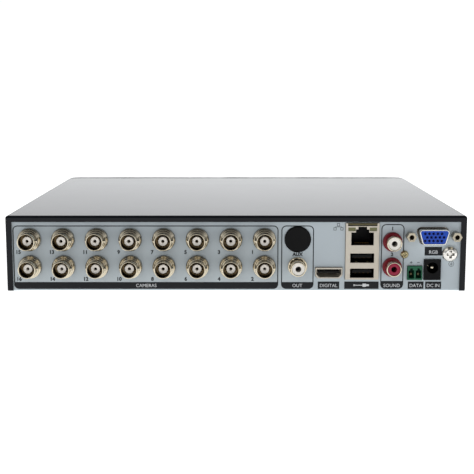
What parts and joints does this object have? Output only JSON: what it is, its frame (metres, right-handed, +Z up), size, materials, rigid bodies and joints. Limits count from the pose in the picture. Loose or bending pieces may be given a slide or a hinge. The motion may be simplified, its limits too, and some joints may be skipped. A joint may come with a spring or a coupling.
{
  "type": "video recorder",
  "caption": "Low steel-cased video recorder with stacked BNC camera inputs, network, monitor and audio sockets behind, and keys in front.",
  "frame": {"origin": "on the surface the feet stand on, under the middle of the whole part's box", "axes": "+X to the right as the socket panel is faced, +Y from the socket panel towards the front keys, +Z up"},
  "size_m": [0.255, 0.2354, 0.0455],
  "materials": {
    "panel_steel": "matte grey powder coat",
    "cover_steel": "satin black fine-texture coat",
    "bezel_plastic": "fine spark texture",
    "smoked_plastic": "polished",
    "clear_plastic": "clear acrylic",
    "rubber": "matte",
    "zinc_steel": "zinc plated",
    "nickel": "nickel plated",
    "brass": "yellow passivated",
    "black_plastic": "moulded",
    "white_plastic": "moulded",
    "gold_contacts": "gold flash",
    "crimson_plastic": "moulded",
    "maroon_plastic": "moulded",
    "tin_plate": "tin plated sheet",
    "blue_plastic": "moulded",
    "green_plastic": "moulded",
    "lamp_plastic": "clear tinted",
    "circuit_board": "solder mask",
    "fin_aluminium": "extruded",
    "fan_plastic": "moulded",
    "chip_resin": "moulded",
    "can_aluminium": "sleeved",
    "cell_steel": "stamped",
    "disk_aluminium": "cast",
    "lead_jacket": "soft jacket",
    "key_plastic": "moulded"
  },
  "bodies": {
    "chassis": {"audio_block_screw": "brass", "audio_housing": "maroon_plastic", "base_chassis": "panel_steel", "blanking_plug": "black_plastic", "bnc_contacts": "gold_contacts", "bnc_insulators": "white_plastic", "bnc_shells_1": "nickel", "bnc_shells_2": "nickel", "bnc_shells_3": "nickel", "bnc_shells_4": "nickel", "bnc_shells_5": "nickel", "bnc_shells_6": "nickel", "bnc_shells_7": "nickel", "bnc_shells_8": "nickel", "board_capacitors": "can_aluminium", "board_chips": "chip_resin", "board_screws": "zinc_steel", "coin_cell": "cell_steel", "cover_screws": "zinc_steel", "dc_jack_housing": "black_plastic", "dc_jack_pin": "nickel", "disk_board": "circuit_board", "disk_casting": "disk_aluminium", "disk_leads": "lead_jacket", "disk_plugs": "black_plastic", "disk_screws": "zinc_steel", "fan_frame": "black_plastic", "front_bezel": "bezel_plastic", "front_board": "circuit_board", "front_ribbon": "white_plastic", "front_window": "smoked_plastic", "ground_screw": "nickel", "hdmi_shell": "tin_plate", "hdmi_tongue": "black_plastic", "heatsink": "fin_aluminium", "jack_housings": "black_plastic", "lan_lamps": "lamp_plastic", "lan_usb_cage": "tin_plate", "lan_usb_contacts": "gold_contacts", "lan_usb_insert": "black_plastic", "light_pipes": "clear_plastic", "main_board": "circuit_board", "rca_insulator_red": "crimson_plastic", "rca_insulators_white": "white_plastic", "rca_shells": "nickel", "rs485_header": "green_plastic", "rs485_pins": "tin_plate", "rubber_feet": "rubber", "tact_switches": "black_plastic", "vga_insert": "blue_plastic", "vga_jackscrews": "nickel", "vga_shell": "tin_plate"},
    "cover": {"top_cover": "cover_steel"},
    "rotor": {"fan_rotor": "fan_plastic"},
    "key_up": {"up_key": "key_plastic"},
    "key_down": {"down_key": "key_plastic"},
    "key_left": {"left_key": "key_plastic"},
    "key_right": {"right_key": "key_plastic"},
    "key_enter": {"enter_key": "key_plastic"},
    "key_power": {"power_key": "key_plastic"}
  },
  "joints": [
    {"name": "cover_lift", "type": "slide", "parent": "chassis", "child": "cover", "axis": [0, 0, 1], "range_m": [0, 0.1]},
    {"name": "fan_spin", "type": "hinge", "parent": "chassis", "child": "rotor", "pos_m": [0.062, -0.04735, 0.026], "axis": [0, 0, 1], "continuous": true},
    {"name": "press_up", "type": "slide", "parent": "chassis", "child": "key_up", "axis": [0, -1, 0], "range_m": [0, 0.0008], "stiffness_N_per_m": 2000},
    {"name": "press_down", "type": "slide", "parent": "chassis", "child": "key_down", "axis": [0, -1, 0], "range_m": [0, 0.0008], "stiffness_N_per_m": 2000},
    {"name": "press_left", "type": "slide", "parent": "chassis", "child": "key_left", "axis": [0, -1, 0], "range_m": [0, 0.0008], "stiffness_N_per_m": 2000},
    {"name": "press_right", "type": "slide", "parent": "chassis", "child": "key_right", "axis": [0, -1, 0], "range_m": [0, 0.0008], "stiffness_N_per_m": 2000},
    {"name": "press_enter", "type": "slide", "parent": "chassis", "child": "key_enter", "axis": [0, -1, 0], "range_m": [0, 0.0008], "stiffness_N_per_m": 2000},
    {"name": "press_power", "type": "slide", "parent": "chassis", "child": "key_power", "axis": [0, -1, 0], "range_m": [0, 0.0008], "stiffness_N_per_m": 2000}
  ]
}
